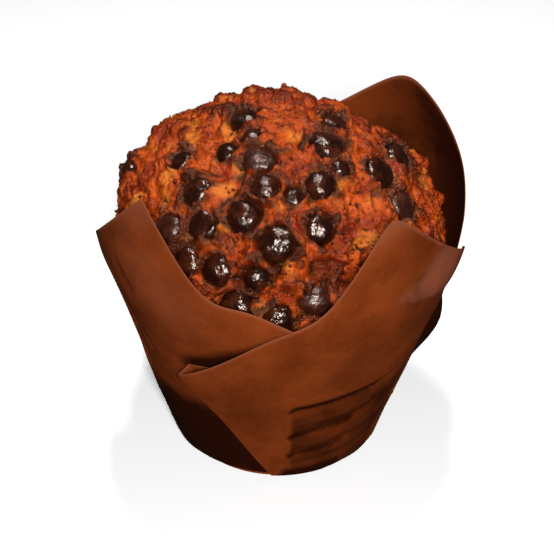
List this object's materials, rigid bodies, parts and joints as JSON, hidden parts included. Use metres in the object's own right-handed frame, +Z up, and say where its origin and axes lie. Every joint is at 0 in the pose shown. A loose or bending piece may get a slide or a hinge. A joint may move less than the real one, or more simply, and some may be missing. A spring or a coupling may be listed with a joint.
{
  "type": "chocolate chip muffin in a paper case",
  "caption": "Domed chocolate-chip muffin baked in a brown tulip paper case folded from one square sheet into pointed petals.",
  "frame": {"origin": "middle of the flat base, on the surface the muffin stands on", "axes": "+Z up through the crown; -Y is the front, where two petals of the case cross low; +X to the right seen from the front"},
  "size_m": [0.0862, 0.086, 0.0901],
  "materials": {
    "crust": "baked orange-brown crumb with a caramelised, slightly glossy crust",
    "brown_paper": "brown greaseproof baking paper, matt with a faint sheen",
    "chocolate": "dark glossy baked chocolate chips"
  },
  "bodies": {
    "root": {"chip_01": "chocolate", "chip_02": "chocolate", "chip_03": "chocolate", "chip_04": "chocolate", "chip_05": "chocolate", "chip_06": "chocolate", "chip_07": "chocolate", "chip_08": "chocolate", "chip_09": "chocolate", "chip_10": "chocolate", "chip_11": "chocolate", "chip_12": "chocolate", "chip_13": "chocolate", "chip_14": "chocolate", "chip_15": "chocolate", "chip_16": "chocolate", "chip_17": "chocolate", "chip_18": "chocolate", "chip_19": "chocolate", "chip_20": "chocolate", "chip_21": "chocolate", "chip_22": "chocolate", "chip_23": "chocolate", "chip_24": "chocolate", "chip_25": "chocolate", "chip_26": "chocolate", "chip_27": "chocolate", "chip_28": "chocolate", "chip_29": "chocolate", "chip_30": "chocolate", "chip_31": "chocolate", "chip_32": "chocolate", "chip_33": "chocolate", "chip_34": "chocolate", "chip_35": "chocolate", "chip_36": "chocolate", "chip_37": "chocolate", "chip_38": "chocolate", "muffin": "crust", "paper_case": "brown_paper"}
  },
  "joints": []
}
